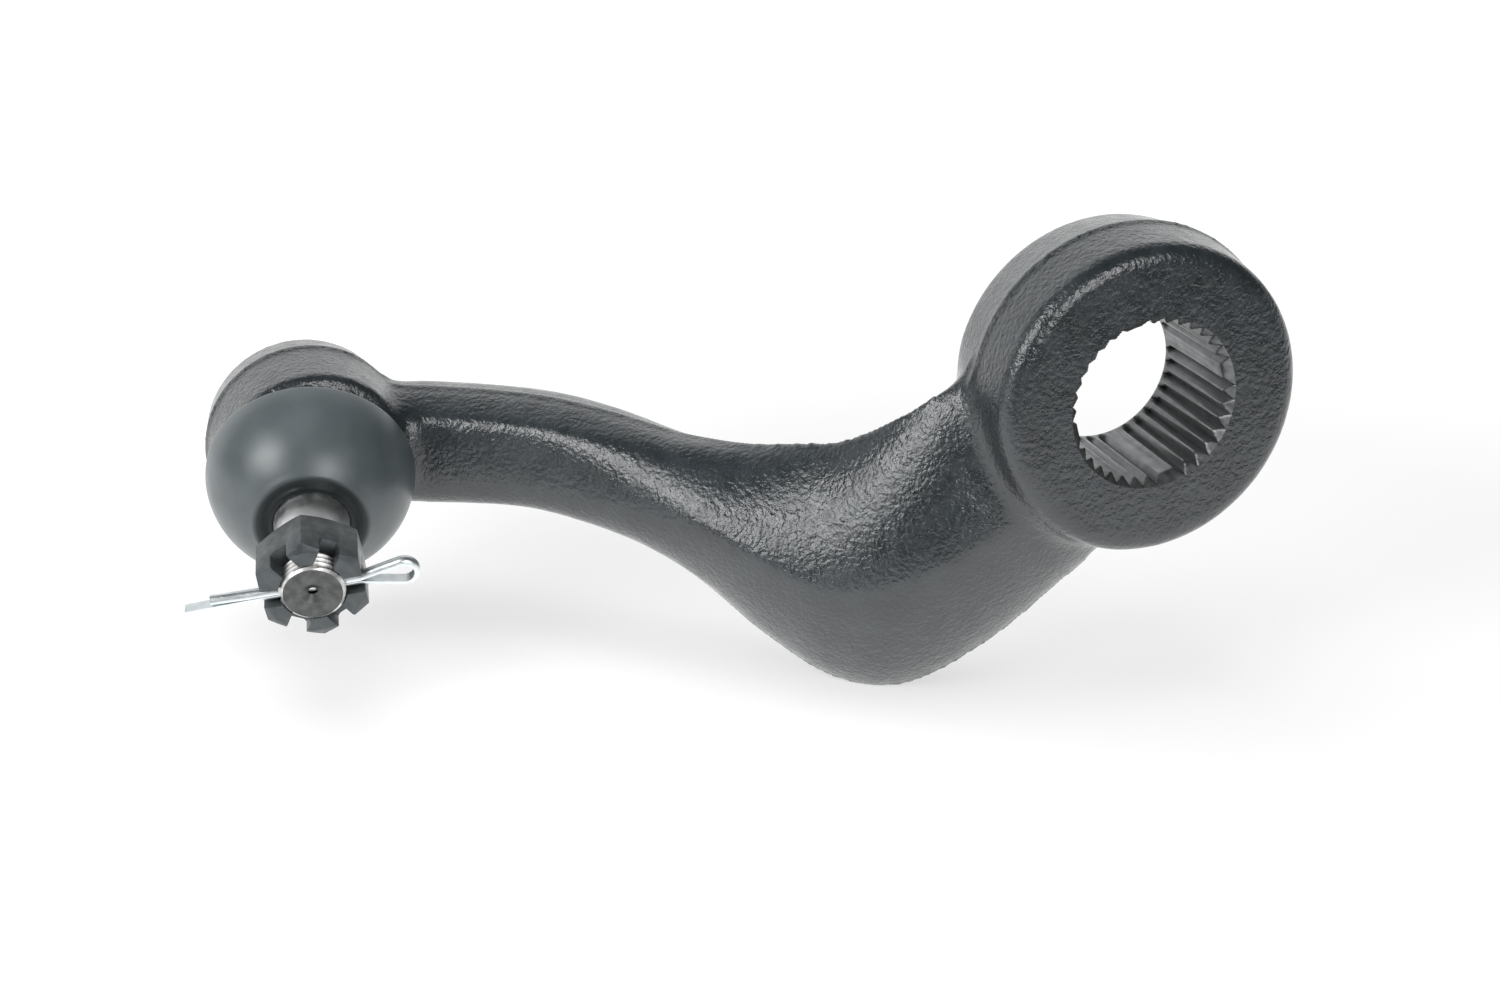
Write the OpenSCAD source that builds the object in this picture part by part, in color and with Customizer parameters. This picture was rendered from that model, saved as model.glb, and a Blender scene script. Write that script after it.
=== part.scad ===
// Pitman arm: a drop-forged steering lever with a tapered serrated bore at one end
// and a sealed ball socket with a slotted nut and cotter pin at the other.
// Millimetres, +Z up. The bore axis is Y with its large end toward -Y, origin at mid-bore.

/* [Boss] */
// Diameter of the boss on its parting line
boss_d = 62.4; // [58:0.2:70]
// Thickness of the boss along the bore
boss_t = 26; // [23:0.5:30]
// Draft of the forged side walls, in degrees
draft = 7; // [4:0.5:9]
// Rounding of the boss edges
boss_round = 3.5; // [2:0.25:4.5]
// How far the trimmed flash stands out along the parting line
flash_out = 0.3; // [0.1:0.1:0.8]
// Width of the trimmed flash
flash_w = 1.2; // [0.6:0.1:2]

/* [Serrated bore] */
// Radius of the bore at the tips of the serrations
bore_r = 15; // [14:0.1:16]
// Depth of a serration groove at the large end of the bore
groove_depth = 1.35; // [0.8:0.05:1.6]
// Depth of a serration groove where it ends, near the small end
groove_end = 0.7; // [0.4:0.05:0.8]
// Half of the angle between the two sides of a groove
groove_half_angle = 40; // [30:1:42]
// Number of positions round the bore
positions = 36; // [36:4:36]
// Every so many positions one groove is left out, so the arm only fits four ways
blind_every = 9; // [9:9:18]
// Turn of the first blind land from +X
blind_turn = 16.5; // [0:0.5:90]
// Length at the small end that the grooves stop before
runout = 1.8; // [1:0.1:6]
// Width of the lead-in chamfer at the large end
bore_chamfer = 1.6; // [1:0.1:2.5]
// Width of the broken edge at the small end
bore_break = 0.8; // [0.3:0.1:1.2]

/* [Arm] */
// Distance of the socket axis from the bore axis along X
reach = 143.6; // [130:0.2:160]
// Drop of the socket axis below the bore axis
drop = 22.6; // [14:0.2:30]
// Set-back of the ball centre behind mid-bore, along the bore axis
setback = 73; // [60:0.5:84]
// Height of the arm's tallest section
arm_h = 53; // [48:0.5:58]
// Thickness of the arm's thickest section
arm_t = 27; // [24:0.5:30]
// Section inside the boss: shares of reach, set-back, drop, height and thickness, its turn and squareness
start = [0.06, 0.015, 0.3097, 0.9527, 0.7778, -36, 1.7]; // [-60:0.0001:60]
// Section where the arm leaves the boss, given the same way
root = [0.155, 0.048, 0.8805, 0.9332, 0.8704, -29, 1.4]; // [-60:0.0001:60]
// Section at the shoulder
shoulder = [0.22, 0.082, 1.2478, 0.9858, 0.9444, -18, 1.35]; // [-60:0.0001:60]
// Section at the elbow, the tallest one
elbow = [0.29, 0.144, 1.5442, 1.0251, 1, -6.8, 1.35]; // [-60:0.0001:60]
// Section at the belly, the lowest one
belly = [0.352, 0.226, 1.6372, 0.932, 1, -0.4, 1.35]; // [-60:0.0001:60]
// Section where the arm rises again
rise = [0.415, 0.322, 1.5177, 0.7565, 0.9444, 7.5, 1.35]; // [-60:0.0001:60]
// Section at the bend
bend = [0.478, 0.432, 1.3584, 0.5604, 0.8704, 14.3, 1.5]; // [-60:0.0001:60]
// Section at the crook
crook = [0.542, 0.562, 1.2345, 0.4509, 0.7963, 16.4, 2.1]; // [-60:0.0001:60]
// Section at the neck
neck = [0.622, 0.719, 1.1062, 0.4325, 0.7407, 8.6, 2.9]; // [-60:0.0001:60]
// Section at the wrist
wrist = [0.706, 0.849, 1.0398, 0.429, 0.7222, 4.5, 3.4]; // [-60:0.0001:60]
// Section where the arm meets the socket
hand = [0.846, 0.986, 1.0354, 0.4507, 0.7037, 3, 3.2]; // [-60:0.0001:60]

/* [Socket] */
// Diameter of the socket housing on its parting line
socket_d = 40.4; // [38:0.2:44]
// Distance of the parting line behind the ball centre
socket_part = 3.5; // [2:0.25:5]
// Height of the housing in front of the ball centre
socket_front = 11; // [9.5:0.25:12]
// Height of the housing's full-width part behind the parting line
socket_back = 8; // [6:0.25:9]
// Height of the spigot inside the boot
spigot_h = 2; // [1.5:0.25:2.5]
// Radius of the spigot
spigot_r = 15.5; // [14.8:0.1:16.5]
// Thickness of the spigot's wall at its mouth
spigot_wall = 2.5; // [2:0.1:3]
// Rounding of the housing's front edge
front_round = 2; // [0.8:0.1:3]
// Rounding of the housing's back edge
back_round = 1; // [0.6:0.1:1.5]
// Outside radius of the rolled rim behind the housing
rim_r = 16.8; // [16.4:0.1:17.5]
// Rounding of the rolled rim
rim_round = 0.8; // [0.4:0.1:1]
// How far the rolled lip reaches over the cover plate
lip_over = 1.4; // [1:0.1:2]
// Thickness of the rolled lip over the cover plate
lip_t = 1.2; // [0.8:0.1:2]

/* [Ball joint] */
// Radius of the ball
ball_r = 11.1; // [10.5:0.1:11.6]
// Radius of the throat that keeps the ball in
throat_r = 9.6; // [9.2:0.1:10]
// Running clearance between sliding faces
fit = 0.05; // [0.02:0.01:0.1]
// Distance of the half ball's front face from the ball centre
half_ball_front = 7; // [6.5:0.1:7.4]
// Distance of the split behind the ball centre, between half ball and stud head
split_back = 1; // [0.5:0.1:1.5]
// Distance of the stud head's flat back from the ball centre
head_back = 9; // [8:0.1:9.6]
// Distance of the seat's rim behind the ball centre
seat_rim = 3.6; // [3:0.1:4.2]
// Radius of the grease hole in the seat
seat_hole_r = 3; // [2:0.1:4]
// Radius of the bearing seat
seat_r = 13.5; // [12.8:0.1:13.8]
// Thickness of the bearing seat behind the ball
seat_floor = 2.75; // [2:0.25:4]
// Thickness of the cover plate
cover_t = 1.8; // [1.2:0.1:2.5]
// Radius of the dish pressed into the cover plate
dish_r = 9.6; // [7:0.1:11]
// Depth of that dish
dish_depth = 0.7; // [0.3:0.05:1]
// How much wider the cover plate is than the seat, in radius
cover_step = 1.1; // [0.8:0.1:1.4]
// Thickness of the coned spring disc
disc_t = 0.9; // [0.6:0.05:1.2]
// Radius of the hole in the coned spring disc
disc_hole_r = 5; // [4.5:0.1:7]
// How much smaller the coned spring disc is than the seat, in radius
disc_inset = 1; // [0.5:0.1:2]
// Height of the coned spring disc's cone
disc_cone = 0.6; // [0.3:0.05:0.9]
// Lean of the stud as the joint rests
lean = 16.7; // [0:0.1:20]
// Direction of that lean, round the socket axis
lean_dir = 239; // [0:1:359]

/* [Stud] */
// Length of the stud from the ball centre to its threaded end
stud_l = 48; // [46:0.5:54]
// Radius of the journal that turns in the half ball
journal_r = 7; // [6.5:0.1:7.4]
// Radius of the taper at its large end
taper_r = 7.75; // [7.4:0.05:8]
// Distance of the taper's large end from the ball centre
taper_start = 18.5; // [18:0.25:21]
// Clearance between the taper and the nut
taper_gap = 0.2; // [0.1:0.05:1]
// Taper, as change of radius for each millimetre
taper_rate = 0.0625; // [0.05:0.0025:0.07]
// Radius of the thread
thread_r = 6.35; // [6:0.05:6.5]
// Chamfer at the end of the thread
thread_chamfer = 0.8; // [0.5:0.1:1.2]
// Radius of the centre-drilled dimple in the stud's end
dimple_r = 1.8; // [1.2:0.1:2.4]
// Depth of that dimple
dimple_depth = 1.6; // [1:0.1:2]
// Radius of the hole for the cotter pin
pin_hole_r = 1.8; // [1.7:0.05:2]

/* [Nut and cotter pin] */
// Width of the nut across its flats
nut_af = 19.05; // [18:0.05:20]
// Height of the nut
nut_h = 10.8; // [10:0.1:12]
// How far inside the flats the nut's chamfers meet its faces
nut_inset = 0.4; // [0.2:0.05:0.8]
// Slope of the chamfer on the slotted end, in degrees
nut_slope = 30; // [20:1:40]
// How far the stud stands out of the nut
stud_out = 0.5; // [0:0.1:1.5]
// Width of a slot in the nut
slot_w = 3.9; // [3.6:0.1:4.2]
// Depth of a slot in the nut
slot_depth = 4; // [3.8:0.1:4.6]
// Turn of the slot that the pin goes through
pin_turn = 8.8; // [-20:0.1:20]
// Radius of the pin's shank, both wires together
pin_r = 1.55; // [1.4:0.05:1.6]
// Radius of the pin's eye to the middle of its wire
eye_r = 2.3; // [2:0.1:2.8]
// Distance of the eye's middle from the stud axis
eye_at = 16.6; // [15:0.1:18]
// Radius of the wire where it is bent round the eye
wire_r = 0.65; // [0.55:0.05:0.7]
// Length of the longer leg from the stud axis
leg_long = 24; // [21:0.5:30]
// Length of the shorter leg from the stud axis
leg_short = 19; // [16:0.5:24]

/* [Boot] */
// How far the radius of the boot's dome is over that of the housing
boot_over = 0.4; // [0.3:0.1:1]
// Distance of the dome's middle from the ball centre, along the stud
boot_z = 8.7; // [8:0.1:9.5]
// Distance of the boot's lowest edge from the ball centre, along the socket axis
skirt_z = 7.5; // [6:0.1:10]
// Distance of the collar's outer end from the ball centre, along the stud
collar_end = 26.3; // [25.5:0.1:27]
// Height of the collar on the stud
collar_h = 3.4; // [2:0.1:4.5]
// Thickness of the boot's wall
boot_wall = 1.4; // [1.2:0.1:1.6]

/* [Hidden] */
$fn = 96;
eps = 0.01;
boss_r = boss_d / 2;
socket_r = socket_d / 2;
ball_at = [-reach, setback, -drop];
tip = [1, 1 + socket_part / setback, 1, hand[3], hand[4], 0, hand[6]];
rows = [2 * start - root, start, root, shoulder, elbow, belly, rise, bend, crook, neck, wrist, hand, tip,
        2 * tip - hand];
first_row = 1;
last_row = len(rows) - 2;
steps_per_row = 4;
ring_points = 32;
loft_rings = (last_row - first_row) * steps_per_row;

seat_bore_r = seat_r + fit;
cover_r = seat_r + cover_step;
cover_bore_r = cover_r + fit;
cavity_r = ball_r + fit;
throat_z = sqrt(cavity_r * cavity_r - throat_r * throat_r);
spigot_top = socket_front + spigot_h;
mouth_r = spigot_r - spigot_wall;
seat_front_z = -seat_rim;
seat_gap = 2 * fit;
seat_back_z = -cavity_r - seat_floor;
cover_front_z = seat_back_z - disc_t - disc_cone;
cover_back_z = cover_front_z - cover_t;
lip_z = cover_back_z - lip_t;
lip_r = cover_r - lip_over;
split_z = -split_back;
head_back_z = -head_back;
nut_top = stud_l - stud_out;
nut_base = nut_top - nut_h;
taper_end = nut_base - taper_gap;
taper_end_r = taper_r - taper_rate * (taper_end - taper_start);
nut_r = nut_af / 2 / cos(30);
pin_gap = 0.35;
pin_split = 0.12;
pin_z = nut_top - slot_depth + pin_r + pin_gap;
boot_r = socket_d / 2 + boot_over;
collar_base = collar_end - collar_h;
grip_over = 1;
grip_l = collar_end - taper_start + grip_over;

// Points on a circular arc
function arc(c, r, from, to, n) =
  [for (i = [0:n]) c + r * [cos(from + (to - from) * i / n), sin(from + (to - from) * i / n)]];

// A vector at unit length
function unit(v) = v / norm(v);

// A smooth curve through four values, t running from b to c
function smooth(a, b, c, d, t) =
  b + t * (c - a) / 2 + t * t * (a - 2.5 * b + 2 * c - d / 2)
  + t * t * t * (1.5 * b - a / 2 - 1.5 * c + d / 2);

// Everything that shapes the arm's section at distance s, counted in rows
function along(s) =
  let (i = min(floor(s), last_row - 1))
  smooth(rows[i - 1], rows[i], rows[i + 1], rows[i + 2], s - i);

// Middle of the arm's section at distance s
function middle(s) =
  let (row = along(s))
  [-reach * row[0], setback * row[1], -drop * row[2]];

// Sine or cosine pushed outward or inward: power 2 is an ellipse, a higher one is squarer
function squarer(v, power) = sign(v) * pow(abs(v), 2 / power);

// One closed section of the arm at distance s
function arm_ring(s) =
  let (row = along(s))
  let (ahead = middle(min(s + 0.02, last_row)) - middle(max(s - 0.02, first_row)))
  let (up = [sin(row[5]), 0, cos(row[5])])
  let (side = unit(cross(ahead, up)))
  [for (j = [0:ring_points - 1])
    let (a = 360 * j / ring_points)
    middle(s) + up * arm_h * row[3] / 2 * squarer(sin(a), row[6])
      + side * arm_t * row[4] / 2 * squarer(cos(a), row[6])];

// Triangles between the rings of a tube, ring after ring
function tube_faces(rings, n) =
  [for (i = [0:rings - 1]) for (j = [0:n - 1]) for (half = [0, 1])
    let (p = i * n + j)
    let (q = i * n + (j + 1) % n)
    half == 0 ? [p, q, q + n] : [p, q + n, p + n]];

module along_bore() {
  rotate([90, 0, 0])
    children();
}

module on_socket() {
  translate(ball_at)
    rotate([90, 0, 0])
      children();
}

module on_stud() {
  on_socket()
    rotate([0, 0, lean_dir])
      rotate([0, lean, 0])
        rotate([0, 0, -lean_dir])
          children();
}

// The drum of the boss: drafted both ways from the parting line, with rounded edges
module boss() {
  h = boss_t / 2;
  edge = boss_r - (h - boss_round) * tan(draft);
  rotate_extrude()
    polygon(concat(
      [[0, -h]],
      arc([edge - boss_round, boss_round - h], boss_round, -90, -draft, 6),
      [[boss_r, -flash_w / 2], [boss_r + flash_out, -flash_w / 3]],
      [[boss_r + flash_out, flash_w / 3], [boss_r, flash_w / 2]],
      arc([edge - boss_round, h - boss_round], boss_round, draft, 90, 6),
      [[0, h]]
    ));
}

// The outside of the socket housing, with its spigot in front and its rolled rim behind
module housing() {
  part = -socket_part;
  back = part - socket_back;
  front_edge = socket_r - (socket_front - front_round - part) * tan(draft);
  rotate_extrude()
    polygon(concat(
      [[0, lip_z]],
      arc([rim_r - rim_round, lip_z + rim_round], rim_round, -90, 0, 4),
      [[rim_r, back - back_round]],
      arc([socket_r - socket_back * tan(draft) - back_round, back], back_round, -90, -draft, 4),
      [[socket_r, part - flash_w / 2], [socket_r + flash_out, part - flash_w / 3]],
      [[socket_r + flash_out, part + flash_w / 3], [socket_r, part + flash_w / 2]],
      arc([front_edge - front_round, socket_front - front_round], front_round, draft, 90, 4),
      [[spigot_r, socket_front], [spigot_r, spigot_top], [0, spigot_top]]
    ));
}

// The arm between them, a tube of closed sections along a smooth line
module arm_body() {
  last = loft_rings * ring_points;
  polyhedron(
    points = [for (i = [0:loft_rings]) each arm_ring(first_row + i / steps_per_row)],
    faces = concat(
      tube_faces(loft_rings, ring_points),
      [[for (j = [ring_points - 1:-1:0]) j], [for (j = [0:ring_points - 1]) last + j]]
    )
  );
}

// The bore with its lead-in, and the grooves that run out toward the small end
module serrated_bore() {
  h = boss_t / 2;
  run = boss_t - runout;
  tilt = atan((groove_depth - groove_end) / run);
  past = 2;
  base = groove_depth + past;
  half_base = base * tan(groove_half_angle);
  translate([0, 0, -h - 1])
    cylinder(r = bore_r, h = boss_t + 2);
  translate([0, 0, h - bore_chamfer])
    cylinder(r1 = bore_r, r2 = bore_r + bore_chamfer, h = bore_chamfer);
  translate([0, 0, h])
    cylinder(r = bore_r + bore_chamfer, h = 1);
  translate([0, 0, -h - eps])
    cylinder(r1 = bore_r + bore_break, r2 = bore_r, h = bore_break);
  for (i = [0:positions - 1])
    if (i % blind_every != 0)
      rotate([0, 0, blind_turn + 360 / positions * i])
        translate([bore_r + groove_end, 0, runout - h])
          rotate([0, tilt, 0])
            linear_extrude(height = run + past)
              polygon([[0, 0], [-base, half_base], [-base, -half_base]]);
}

// The room inside the housing: rim, cover step, seat bore, ball cavity, throat and mouth
module socket_cavity() {
  angle = acos(throat_r / cavity_r);
  rotate_extrude()
    polygon(concat(
      [[0, lip_z - lip_t], [lip_r, lip_z - lip_t], [lip_r, cover_back_z], [cover_bore_r, cover_back_z]],
      [[cover_bore_r, cover_front_z], [seat_bore_r, cover_front_z], [seat_bore_r, seat_front_z + seat_gap]],
      [[cavity_r, seat_front_z + seat_gap]],
      arc([0, 0], cavity_r, 0, angle, 10),
      [[mouth_r, spigot_top], [mouth_r, spigot_top + lip_t], [0, spigot_top + lip_t]]
    ));
}

module arm_forging() {
  color([0.12, 0.12, 0.13])
    difference() {
      union() {
        along_bore()
          boss();
        arm_body();
        on_socket()
          housing();
      }
      along_bore()
        serrated_bore();
      on_socket()
        socket_cavity();
    }
}

// The front half of the ball, which leans with the stud and lets it spin
module half_ball() {
  color([0.55, 0.5, 0.4])
    on_stud()
      difference() {
        sphere(r = ball_r);
        translate([0, 0, half_ball_front])
          cylinder(r = ball_r, h = ball_r);
        translate([0, 0, split_z + fit - 2 * ball_r])
          cylinder(r = 2 * ball_r, h = 2 * ball_r);
        cylinder(r = journal_r + fit, h = 4 * ball_r, center = true);
      }
}

// The stud: rear half of the ball, journal, taper and thread, with the pin hole
module ball_stud() {
  color([0.6, 0.6, 0.62])
    on_stud()
      difference() {
        union() {
          rotate_extrude()
            polygon([
              [0, 2 * split_z], [journal_r, 2 * split_z], [journal_r, taper_start - 1],
              [taper_r, taper_start],
              [taper_end_r, taper_end], [thread_r, nut_base], [thread_r, stud_l - thread_chamfer],
              [thread_r - thread_chamfer, stud_l], [0, stud_l]
            ]);
          intersection() {
            sphere(r = ball_r);
            translate([0, 0, head_back_z])
              cylinder(r = 2 * ball_r, h = split_z - head_back_z);
          }
        }
        rotate([0, 0, pin_turn])
          translate([0, 0, pin_z])
            rotate([0, 90, 0])
              cylinder(r = pin_hole_r, h = 4 * thread_r, center = true);
        translate([0, 0, stud_l - dimple_depth])
          cylinder(r1 = 0, r2 = dimple_r, h = dimple_depth + eps);
      }
}

// The cup that presses on the back of the ball and turns with the lean
module bearing_seat() {
  color([0.75, 0.72, 0.62])
    on_socket()
      difference() {
        translate([0, 0, seat_back_z])
          cylinder(r = seat_r, h = seat_front_z - seat_back_z);
        sphere(r = cavity_r);
        translate([0, 0, seat_back_z - 1])
          cylinder(r = seat_hole_r, h = 2 * seat_floor);
      }
}

// The coned disc that keeps the joint tight
module disc_spring() {
  outer = seat_r - disc_inset;
  color([0.4, 0.42, 0.45])
    on_socket()
      rotate_extrude()
        polygon([
          [disc_hole_r, seat_back_z - disc_t], [outer, cover_front_z], [outer, cover_front_z + disc_t],
          [disc_hole_r, seat_back_z]
        ]);
}

// The plate rolled into the back of the housing
module cover_plate() {
  color([0.5, 0.5, 0.52])
    on_socket()
      difference() {
        translate([0, 0, cover_back_z])
          cylinder(r = cover_r, h = cover_t);
        translate([0, 0, cover_back_z - eps])
          cylinder(r1 = dish_r, r2 = dish_r - 2 * dish_depth, h = dish_depth + eps);
      }
}

// The boot: a rubber dome that leans with the stud over the housing, with a thick collar on the taper
module dust_boot() {
  color([0.16, 0.17, 0.19])
    intersection() {
      on_stud()
        difference() {
          translate([0, 0, boot_z])
            sphere(r = boot_r);
          translate([0, 0, boot_z - 2 * boot_r])
            cylinder(r = 2 * boot_r, h = 2 * boot_r);
          translate([0, 0, collar_end])
            cylinder(r = boot_r, h = boot_r);
          intersection() {
            translate([0, 0, boot_z])
              sphere(r = boot_r - boot_wall);
            translate([0, 0, boot_z - boot_r])
              cylinder(r = boot_r, h = collar_base - boot_z + boot_r);
          }
          translate([0, 0, taper_start])
            cylinder(r1 = taper_r + fit, r2 = taper_r + fit - taper_rate * grip_l, h = grip_l);
        }
      on_socket()
        translate([0, 0, skirt_z])
          cylinder(r = 2 * boot_r, h = 2 * boot_r);
    }
}

// The nut: a hexagon with a slot across each flat and chamfered corners
module slotted_nut() {
  face_r = nut_af / 2 - nut_inset;
  color([0.3, 0.31, 0.3])
    on_stud()
      rotate([0, 0, pin_turn])
        difference() {
          translate([0, 0, nut_base])
            intersection() {
              rotate([0, 0, 30])
                cylinder(r = nut_r, h = nut_h, $fn = 6);
              cylinder(r1 = face_r + nut_h / tan(nut_slope), r2 = face_r, h = nut_h);
              cylinder(r1 = face_r, r2 = face_r + nut_h / tan(nut_slope), h = nut_h);
            }
          cylinder(r = thread_r, h = 2 * stud_l);
          for (i = [0:2])
            rotate([0, 0, 60 * i])
              translate([-nut_r - 1, -slot_w / 2, nut_top - slot_depth])
                cube([2 * nut_r + 2, slot_w, slot_depth + 1]);
        }
}

// Half-round wire running straight along +X between two places, just off the split
module leg(from, to, side) {
  translate([from, 0, 0])
    rotate([0, 90, 0])
      rotate([0, 0, side])
        linear_extrude(height = to - from)
          intersection() {
            circle(r = pin_r, $fn = 32);
            translate([pin_split / 2, -pin_r])
              square([pin_r, 2 * pin_r]);
          }
}

// The cotter pin: two half-round legs, of which one is longer, and a drop-shaped eye
module cotter_pin() {
  overlap = 0.2;
  pin_root = nut_af / 2;
  wire_y = pin_r / 2 + pin_split / 4;
  flank = asin((eye_r - wire_y) / (eye_at - pin_root));
  color([0.72, 0.75, 0.8])
    on_stud()
      rotate([0, 0, pin_turn])
        translate([0, 0, pin_z]) {
          leg(-leg_short, pin_root + wire_r, 90);
          leg(-leg_long, pin_root + wire_r, -90);
          translate([eye_at, 0, 0])
            rotate([0, 0, -90 - flank])
              rotate_extrude(angle = 180 + 2 * flank)
                translate([eye_r, 0])
                  circle(r = wire_r, $fn = 32);
          for (side = [-1, 1])
            translate([eye_at - eye_r * sin(flank), side * eye_r * cos(flank), 0])
              rotate([0, 0, side * flank])
                rotate([0, -90, 0])
                  translate([0, 0, -overlap])
                    cylinder(r = wire_r - fit, h = (eye_at - pin_root) / cos(flank), $fn = 32);
        }
}

arm_forging();
half_ball();
ball_stud();
bearing_seat();
disc_spring();
cover_plate();
dust_boot();
slotted_nut();
cotter_pin();
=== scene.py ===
# %% [markdown]
# # A forged steering lever, dressed in Blender
# The lever joins a steering box to a steering link. One end is a thick boss with a serrated bore,
# the other is a sealed ball joint whose stud carries a slotted nut and a split pin.
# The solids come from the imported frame. This lesson gives them the skin of the real thing:
# a rough painted forging, a broached bore, a rolled thread, a rubber boot and bent wire.

# %% Load the frame
import math

import bpy
import bmesh
import numpy as np
from mathutils import Matrix, Vector
from mathutils.bvhtree import BVHTree
from mathutils.kdtree import KDTree


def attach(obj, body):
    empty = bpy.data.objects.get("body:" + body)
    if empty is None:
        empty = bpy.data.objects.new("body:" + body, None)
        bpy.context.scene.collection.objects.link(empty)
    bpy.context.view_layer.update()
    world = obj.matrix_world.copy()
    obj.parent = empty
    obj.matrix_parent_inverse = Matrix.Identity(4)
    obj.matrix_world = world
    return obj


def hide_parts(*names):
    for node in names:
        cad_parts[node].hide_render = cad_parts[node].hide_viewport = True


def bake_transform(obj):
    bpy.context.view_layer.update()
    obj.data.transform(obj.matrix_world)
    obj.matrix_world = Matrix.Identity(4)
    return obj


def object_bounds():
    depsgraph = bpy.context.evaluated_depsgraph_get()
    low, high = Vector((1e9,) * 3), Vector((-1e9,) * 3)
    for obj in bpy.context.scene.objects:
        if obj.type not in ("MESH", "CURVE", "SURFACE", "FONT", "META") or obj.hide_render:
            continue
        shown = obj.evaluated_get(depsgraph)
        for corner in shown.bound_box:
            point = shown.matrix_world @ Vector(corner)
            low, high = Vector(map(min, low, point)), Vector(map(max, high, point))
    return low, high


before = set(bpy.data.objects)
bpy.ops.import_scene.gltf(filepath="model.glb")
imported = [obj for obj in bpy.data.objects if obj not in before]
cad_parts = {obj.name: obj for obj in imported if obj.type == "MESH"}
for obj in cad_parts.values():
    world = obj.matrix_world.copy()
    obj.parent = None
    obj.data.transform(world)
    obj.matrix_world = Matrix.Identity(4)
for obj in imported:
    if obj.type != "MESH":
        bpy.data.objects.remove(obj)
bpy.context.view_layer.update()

# %% [markdown]
# ## Places
# Every piece is drawn upright round its own axis, in millimetres, and then put in its place by one matrix.
# Turning it inside the mesh keeps the object itself at the origin, so a pattern on Object coordinates stays put.
# The bore and the socket share one direction; the stud leans out of the socket toward the lower left.

# %% Places of the bore, the socket, the stud and the pin
MM = 0.001
REACH, SETBACK, DROP = 143.6, 73.0, 22.6
LEAN, LEAN_DIR = 16.7, 239.0
PIN_TURN, PIN_Z = 8.8, 45.4


def turned(angle, axis):
    return Matrix.Rotation(math.radians(angle), 4, axis)


bore_place = turned(90, "X")
socket_place = Matrix.Translation((-REACH, SETBACK, -DROP)) @ bore_place
stud_place = socket_place @ turned(LEAN_DIR, "Z") @ turned(LEAN, "Y") @ turned(-LEAN_DIR, "Z")
pin_place = stud_place @ turned(PIN_TURN, "Z") @ Matrix.Translation((0, 0, PIN_Z))
print("stud axis", [round(v, 3) for v in stud_place.to_3x3() @ Vector((0, 0, 1))])

# %% [markdown]
# ## Mesh helpers
# A turned piece is a profile carried round an axis, so it only needs its outline in radius and height.
# Real turned and stamped edges are never sharp: a corner of the outline may carry a third number,
# the radius that it is rounded by.

# %% Outlines, turned shapes and mesh objects
MOST_OF_A_SIDE = 0.45  # no rounding takes up more of a side of the outline than this


def arc(centre, radius, start, end, steps):
    angles = np.radians(np.linspace(start, end, steps + 1))
    return [(centre[0] + radius * math.cos(a), centre[1] + radius * math.sin(a)) for a in angles]


def softened(corners, steps=5):
    """An outline whose corners (r, z, rounding) are replaced by small arcs."""
    made = []
    for i, corner in enumerate(corners):
        here = np.array(corner[:2], float)
        if len(corner) < 3 or i in (0, len(corners) - 1):
            made.append(tuple(here))
            continue
        sides = [np.array(corners[i + step][:2], float) - here for step in (-1, 1)]
        lengths = [np.linalg.norm(side) for side in sides]
        reach = min(corner[2], *(MOST_OF_A_SIDE * length for length in lengths))
        a, b = (here + side / length * reach for side, length in zip(sides, lengths))
        made += [tuple((1 - t) ** 2 * a + 2 * t * (1 - t) * here + t * t * b) for t in np.linspace(0, 1, steps + 1)]
    return made


def turned_shape(outline, steps=128):
    """Points and faces of an outline carried round Z; the outline runs upward along the outside."""
    points, rings, faces = [], [], []
    for r, z in outline:
        if r < 1e-9:
            rings.append([len(points)] * steps)
            points.append((0.0, 0.0, z))
        else:
            rings.append(list(range(len(points), len(points) + steps)))
            points += [(r * math.cos(a), r * math.sin(a), z) for a in 2 * math.pi * np.arange(steps) / steps]
    for low, high in zip(rings, rings[1:]):
        for j in range(steps):
            k = (j + 1) % steps
            corners = list(dict.fromkeys([low[j], low[k], high[k], high[j]]))
            if len(corners) > 2:
                faces.append(corners)
    return points, faces


def placed(points, place):
    return np.asarray(points, float) @ np.array(place.to_3x3()).T + np.array(place.translation)


def added(name, data):
    """A new object in the scene."""
    made = bpy.data.objects.new(name, data)
    bpy.context.scene.collection.objects.link(made)
    return made


def mesh_object(name, points, faces, place=Matrix.Identity(4)):
    mesh = bpy.data.meshes.new(name)
    mesh.from_pydata((placed(points, place) * MM).tolist(), [], faces)
    mesh.validate()
    return added(name, mesh)


def face_outward(mesh):
    edit = bmesh.new()
    edit.from_mesh(mesh)
    bmesh.ops.recalc_face_normals(edit, faces=edit.faces)
    edit.to_mesh(mesh)
    edit.free()


def baked(source, name):
    """The object with its modifiers turned into a plain mesh, under a new name."""
    graph = bpy.context.evaluated_depsgraph_get()
    mesh = bpy.data.meshes.new_from_object(source.evaluated_get(graph))
    mesh.name = name
    made = added(name, mesh)
    bpy.data.objects.remove(source)
    return made


def smooth_shaded(piece, sharp=35):
    piece.data.shade_smooth()
    piece.data.set_sharp_from_angle(angle=math.radians(sharp))
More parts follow.
